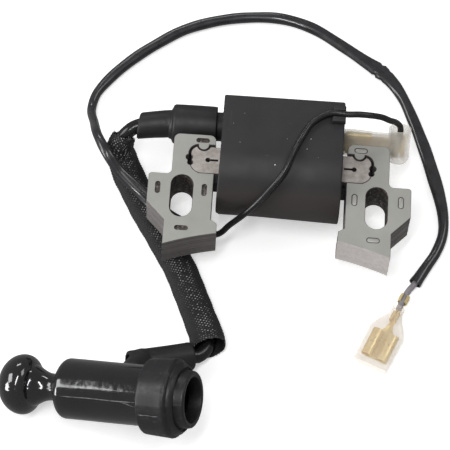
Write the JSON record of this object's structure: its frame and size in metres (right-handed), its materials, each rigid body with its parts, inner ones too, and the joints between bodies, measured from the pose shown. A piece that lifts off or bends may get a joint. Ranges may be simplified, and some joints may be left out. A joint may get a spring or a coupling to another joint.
{
  "type": "ignition coil",
  "caption": "Small-engine ignition coil: laminated core with slotted mounting legs, potted coil housing, sleeved plug lead with angled spark plug cap, and a stop-switch wire.",
  "frame": {"origin": "midway between the two mounting slots, on the back face of the laminated core", "axes": "+X from the high tension outlet towards the stop-wire side, +Y from the pole faces away from the flywheel, +Z out of the front along the mounting bolts"},
  "size_m": [0.1388, 0.1656, 0.0369],
  "materials": {
    "lamination_steel": "satin, stamped silicon steel laminations",
    "housing_plastic": "matte moulded glass-filled plastic, charcoal",
    "potting_resin": "semi-gloss cast epoxy",
    "bobbin_black": "matte moulded plastic",
    "bobbin_natural": "natural moulded plastic",
    "copper_wire": "enamelled copper wire",
    "circuit_board": "satin solder mask",
    "electronics_black": "matte epoxy case",
    "electronics_tan": "dipped coating",
    "tinned_brass": "satin",
    "boot_rubber": "matte",
    "lead_jacket": "semi-gloss",
    "woven_braid": "woven glass fibre, matte, with pale yarn specks",
    "cap_phenolic": "polished moulding",
    "seal_rubber": "satin",
    "spring_steel": "satin",
    "ceramic": "matte",
    "wire_jacket": "semi-matte",
    "vinyl_tubing": "soft sheen",
    "milky_vinyl": "translucent, soft sheen",
    "clear_vinyl": "translucent, glossy"
  },
  "bodies": {
    "coil": {"core_leg_left": "lamination_steel", "core_leg_right": "lamination_steel", "core_bar": "lamination_steel", "coil_housing": "housing_plastic", "potting_compound": "potting_resin", "primary_bobbin": "bobbin_black", "primary_winding": "copper_wire", "secondary_bobbin": "bobbin_natural", "secondary_winding": "copper_wire", "circuit_board": "circuit_board", "power_transistor": "electronics_black", "board_components": "electronics_tan", "ground_strip": "tinned_brass", "ht_tower_pin": "tinned_brass", "primary_tab": "tinned_brass", "ht_boot": "boot_rubber", "ht_lead": "lead_jacket", "braided_sleeve": "woven_braid", "plug_cap_outlet_boot": "boot_rubber", "stop_wire": "wire_jacket", "wire_tubing": "vinyl_tubing", "flag_cover": "milky_vinyl", "flag_terminal": "tinned_brass", "blade_receptacle": "tinned_brass"},
    "plug_cap": {"plug_cap_body": "cap_phenolic", "plug_cap_seal": "seal_rubber", "plug_clip": "spring_steel", "cap_spring": "spring_steel", "cap_resistor": "ceramic", "lead_screw": "tinned_brass"},
    "receptacle_cover": {"receptacle_cover": "clear_vinyl"}
  },
  "joints": [
    {"name": "cap_swivel", "type": "hinge", "parent": "coil", "child": "plug_cap", "pos_m": [-0.04524, -0.06815, 0.01024], "axis": [0.3087, 0.7792, -0.5455], "range_deg": [0, 40]},
    {"name": "receptacle_cover_slide", "type": "slide", "parent": "coil", "child": "receptacle_cover", "axis": [0.3907, 0.9205, 0], "range_m": [0, 0.008]}
  ]
}
